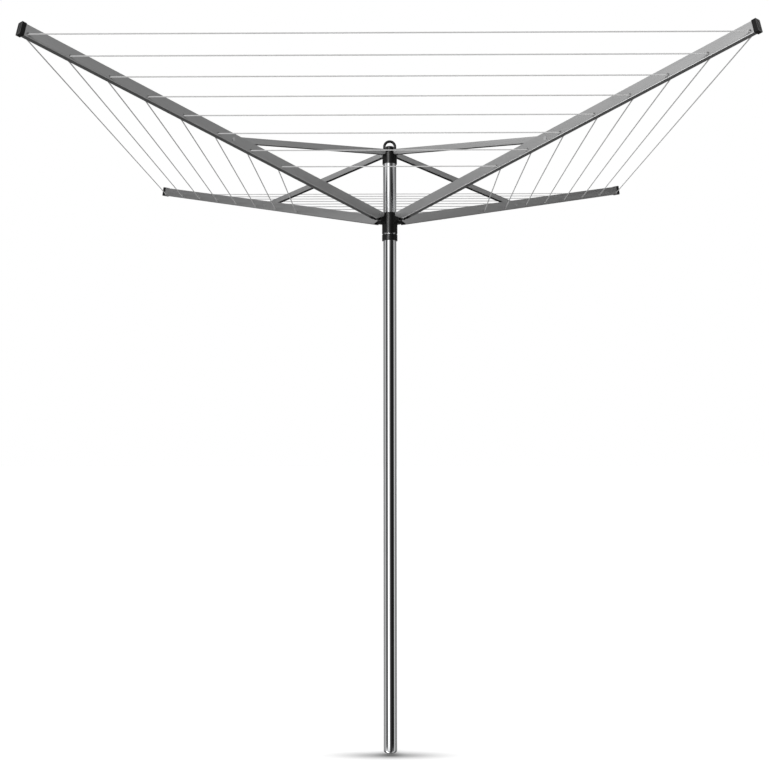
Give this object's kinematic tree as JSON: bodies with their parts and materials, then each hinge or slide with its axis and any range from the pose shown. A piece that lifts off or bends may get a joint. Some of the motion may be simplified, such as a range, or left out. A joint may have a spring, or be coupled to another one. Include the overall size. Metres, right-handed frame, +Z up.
{
  "type": "rotary clothesline",
  "caption": "Open umbrella-type clothesline: a straight polished pole, a turning top hub, a sliding hub with folding channel arms and struts, and square runs of line.",
  "frame": {"origin": "centre of the pole's lower end, on the plane that the pole's foot rests on", "axes": "+Z up along the pole; the four arms lie over the diagonals between X and Y"},
  "size_m": [1.9402, 1.9402, 2.1166],
  "materials": {
    "pole": "polished",
    "steel": "satin",
    "arm_aluminium": "satin anodised",
    "strut_aluminium": "satin anodised",
    "black_plastic": "satin moulded",
    "pale_plastic": "plain moulded",
    "eyelet": "plain moulded",
    "line": "smooth coated cord"
  },
  "bodies": {
    "pole": {"main_pole": "pole", "foot_plug": "black_plastic", "bearing_plug": "black_plastic", "spindle": "steel", "thrust_washer": "pale_plastic", "spindle_clip": "steel"},
    "head": {"top_hub": "black_plastic", "hub_bush": "pale_plastic", "hub_cover": "black_plastic", "hanging_loop": "black_plastic", "strut_pin_1": "steel", "strut_pin_2": "steel", "strut_pin_3": "steel", "strut_pin_4": "steel"},
    "slider": {"slider_hub": "black_plastic", "slider_bush": "pale_plastic", "lock_collet": "black_plastic", "ring_spring": "steel"},
    "ring": {"release_ring": "black_plastic"},
    "strut_1": {"strut_1": "strut_aluminium"},
    "arm_1": {"arm_1": "arm_aluminium", "tip_cap_1": "black_plastic", "arm_pin_1": "steel", "strut_rivet_1": "steel", "line_eyelets_1": "eyelet", "washing_lines_1": "line"},
    "strut_2": {"strut_2": "strut_aluminium"},
    "arm_2": {"arm_2": "arm_aluminium", "tip_cap_2": "black_plastic", "arm_pin_2": "steel", "strut_rivet_2": "steel", "line_eyelets_2": "eyelet", "washing_lines_2": "line"},
    "strut_3": {"strut_3": "strut_aluminium"},
    "arm_3": {"arm_3": "arm_aluminium", "tip_cap_3": "black_plastic", "arm_pin_3": "steel", "strut_rivet_3": "steel", "line_eyelets_3": "eyelet", "washing_lines_3": "line"},
    "strut_4": {"strut_4": "strut_aluminium"},
    "arm_4": {"arm_4": "arm_aluminium", "tip_cap_4": "black_plastic", "arm_pin_4": "steel", "strut_rivet_4": "steel", "line_eyelets_4": "eyelet", "washing_lines_4": "line"}
  },
  "joints": [
    {"name": "head_turn", "type": "hinge", "parent": "pole", "child": "head", "pos_m": [0, 0, 0], "axis": [0, 0, 1], "continuous": true},
    {"name": "slider_travel", "type": "slide", "parent": "head", "child": "slider", "axis": [0, 0, 1], "range_m": [-1.05283, 0], "deforming": ["washing_lines_1", "washing_lines_2", "washing_lines_3", "washing_lines_4"]},
    {"name": "ring_release", "type": "slide", "parent": "slider", "child": "ring", "axis": [0, 0, 1], "range_m": [0, 0.0025], "stiffness_N_per_m": 600, "springref_m": -0.004, "deforming": ["ring_spring"]},
    {"name": "strut_1_fold", "type": "hinge", "parent": "head", "child": "strut_1", "pos_m": [0.02475, 0.02475, 2.013], "axis": [-0.7071, 0.7071, 0], "range_deg": [0, 78.75]},
    {"name": "arm_1_fold", "type": "hinge", "parent": "strut_1", "child": "arm_1", "pos_m": [0.47376, 0.47376, 1.93407], "axis": [-0.7071, 0.7071, 0], "range_deg": [-153.9, 0]},
    {"name": "strut_2_fold", "type": "hinge", "parent": "head", "child": "strut_2", "pos_m": [-0.02475, 0.02475, 2.013], "axis": [-0.7071, -0.7071, 0], "range_deg": [0, 78.75]},
    {"name": "arm_2_fold", "type": "hinge", "parent": "strut_2", "child": "arm_2", "pos_m": [-0.47376, 0.47376, 1.93407], "axis": [-0.7071, -0.7071, 0], "range_deg": [-153.9, 0]},
    {"name": "strut_3_fold", "type": "hinge", "parent": "head", "child": "strut_3", "pos_m": [-0.02475, -0.02475, 2.013], "axis": [0.7071, -0.7071, 0], "range_deg": [0, 78.75]},
    {"name": "arm_3_fold", "type": "hinge", "parent": "strut_3", "child": "arm_3", "pos_m": [-0.47376, -0.47376, 1.93407], "axis": [0.7071, -0.7071, 0], "range_deg": [-153.9, 0]},
    {"name": "strut_4_fold", "type": "hinge", "parent": "head", "child": "strut_4", "pos_m": [0.02475, -0.02475, 2.013], "axis": [0.7071, 0.7071, 0], "range_deg": [0, 78.75]},
    {"name": "arm_4_fold", "type": "hinge", "parent": "strut_4", "child": "arm_4", "pos_m": [0.47376, -0.47376, 1.93407], "axis": [0.7071, 0.7071, 0], "range_deg": [-153.9, 0]}
  ],
  "couplings": [
    {"joint": "strut_1_fold", "follows": "slider_travel", "rad_per_m": -1.3055},
    {"joint": "arm_1_fold", "follows": "slider_travel", "rad_per_m": 2.5513},
    {"joint": "strut_2_fold", "follows": "slider_travel", "rad_per_m": -1.3055},
    {"joint": "arm_2_fold", "follows": "slider_travel", "rad_per_m": 2.5513},
    {"joint": "strut_3_fold", "follows": "slider_travel", "rad_per_m": -1.3055},
    {"joint": "arm_3_fold", "follows": "slider_travel", "rad_per_m": 2.5513},
    {"joint": "strut_4_fold", "follows": "slider_travel", "rad_per_m": -1.3055},
    {"joint": "arm_4_fold", "follows": "slider_travel", "rad_per_m": 2.5513}
  ]
}
